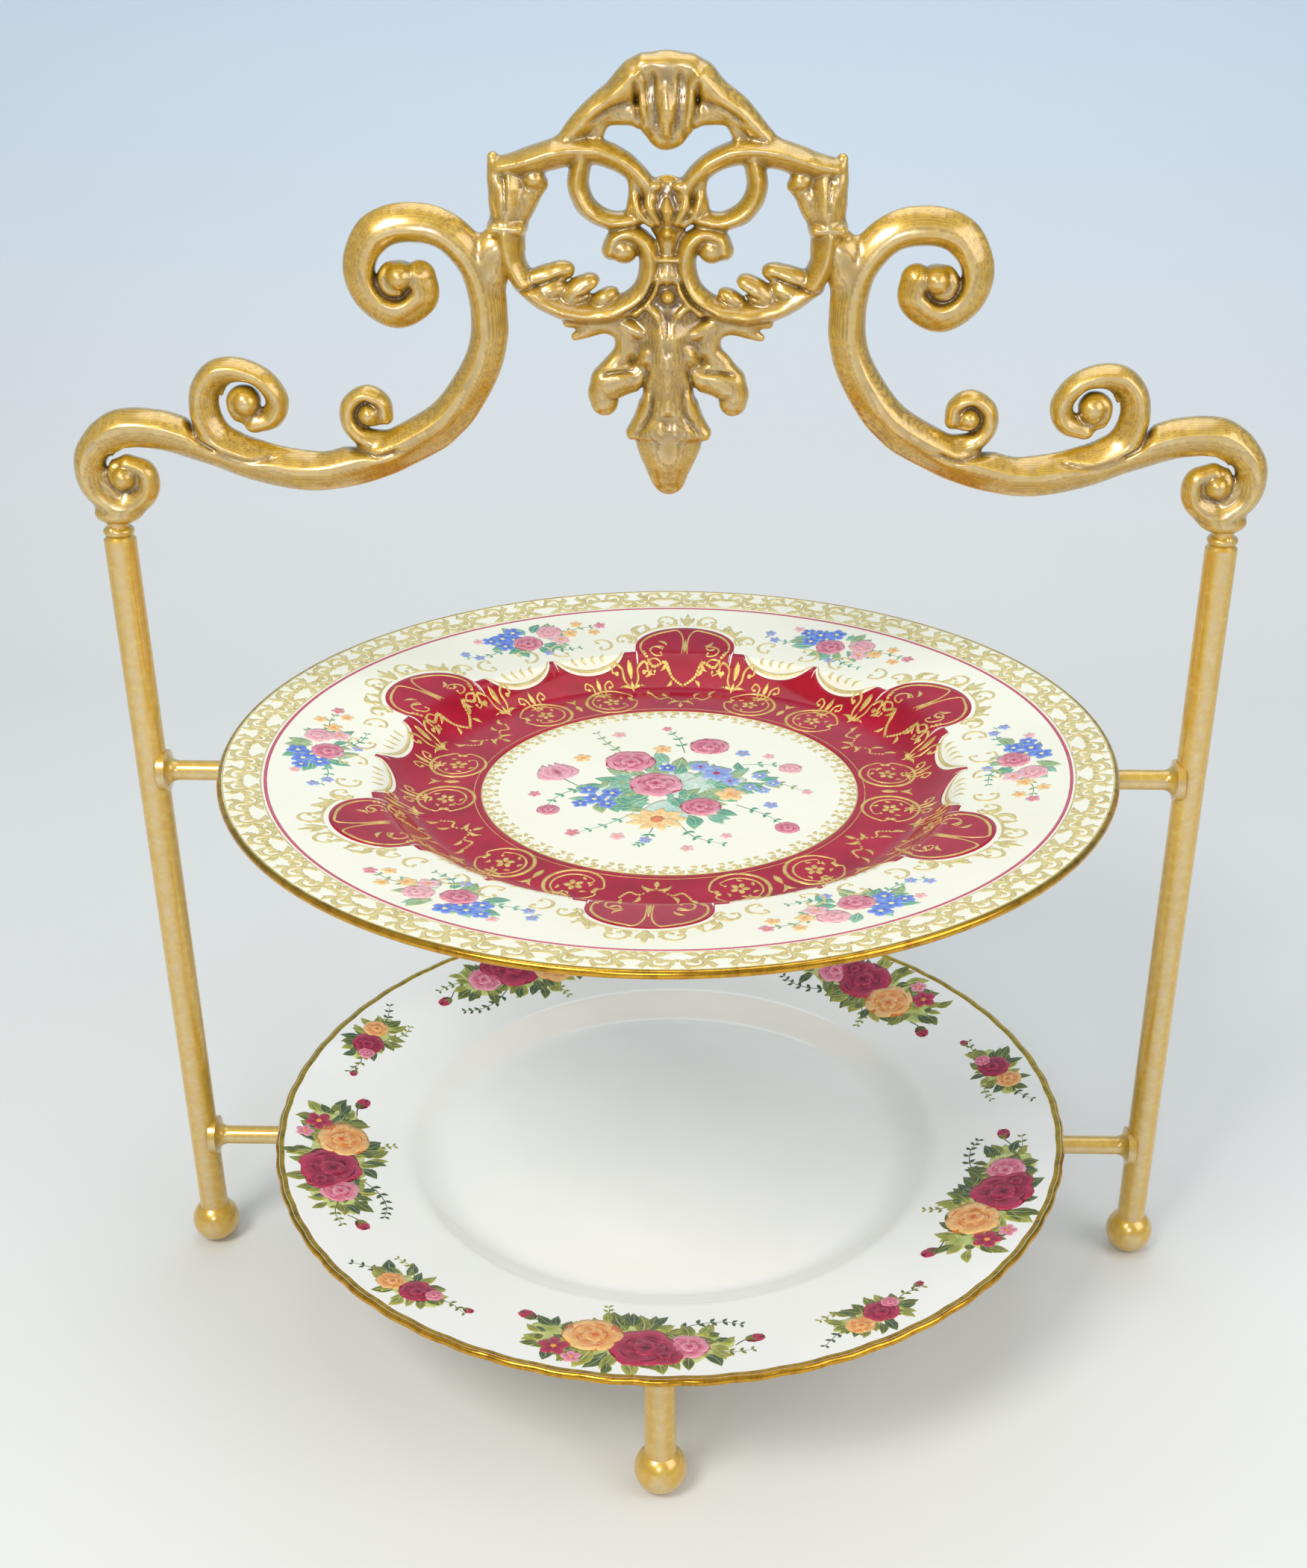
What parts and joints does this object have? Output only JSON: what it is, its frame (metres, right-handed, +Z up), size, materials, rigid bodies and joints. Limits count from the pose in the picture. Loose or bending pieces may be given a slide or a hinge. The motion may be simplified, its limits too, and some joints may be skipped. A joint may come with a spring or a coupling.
{
  "type": "tiered cake stand",
  "caption": "Gilded rod cake stand with a cast scroll handle, ball feet and decorated ceramic plates that hang loose in rings, one above the other.",
  "frame": {"origin": "on the table, midway between the ball feet", "axes": "+Z up, +X from the middle to the right-hand post, the handle lies in the plane y = 0"},
  "size_m": [0.3492, 0.275, 0.394],
  "materials": {
    "gilded_casting": "satin gold paint over a cast ornament, darker in the recesses",
    "gilded_rod": "satin gold paint on round rod",
    "gilded_ball": "satin gold paint on turned balls",
    "gilded_weld": "gold paint over welds, slightly darker",
    "cream_glaze": "glossy cream glaze with burgundy, gold and floral decoration",
    "white_glaze": "glossy white glaze with floral sprays and a gilt edge"
  },
  "bodies": {
    "stand": {"crest_centre": "gilded_casting", "scroll_arm_left": "gilded_casting", "scroll_arm_right": "gilded_casting", "neck_pin_left": "gilded_rod", "neck_pin_right": "gilded_rod", "post_left": "gilded_rod", "post_right": "gilded_rod", "stub_upper_left": "gilded_rod", "stub_upper_right": "gilded_rod", "stub_lower_left": "gilded_rod", "stub_lower_right": "gilded_rod", "ring_upper": "gilded_rod", "ring_lower": "gilded_rod", "stub_lower_front": "gilded_rod", "stub_lower_rear": "gilded_rod", "leg_front": "gilded_rod", "leg_rear": "gilded_rod", "foot_ball_left": "gilded_ball", "foot_ball_right": "gilded_ball", "foot_ball_front": "gilded_ball", "foot_ball_rear": "gilded_ball", "weld_post_left": "gilded_weld", "weld_post_right": "gilded_weld", "weld_neck_left": "gilded_weld", "weld_neck_right": "gilded_weld", "weld_handle_left": "gilded_weld", "weld_handle_right": "gilded_weld", "weld_legs": "gilded_weld", "weld_ring_upper": "gilded_weld", "weld_ring_lower": "gilded_weld"},
    "upper_plate": {"plate_upper": "cream_glaze"},
    "lower_plate": {"plate_lower": "white_glaze"}
  },
  "joints": [
    {"name": "upper_plate_lift", "type": "slide", "parent": "stand", "child": "upper_plate", "axis": [0, 0, 1], "range_m": [0, 0.078]},
    {"name": "lower_plate_lift", "type": "slide", "parent": "stand", "child": "lower_plate", "axis": [0, 0, 1], "range_m": [0, 0.115]}
  ]
}
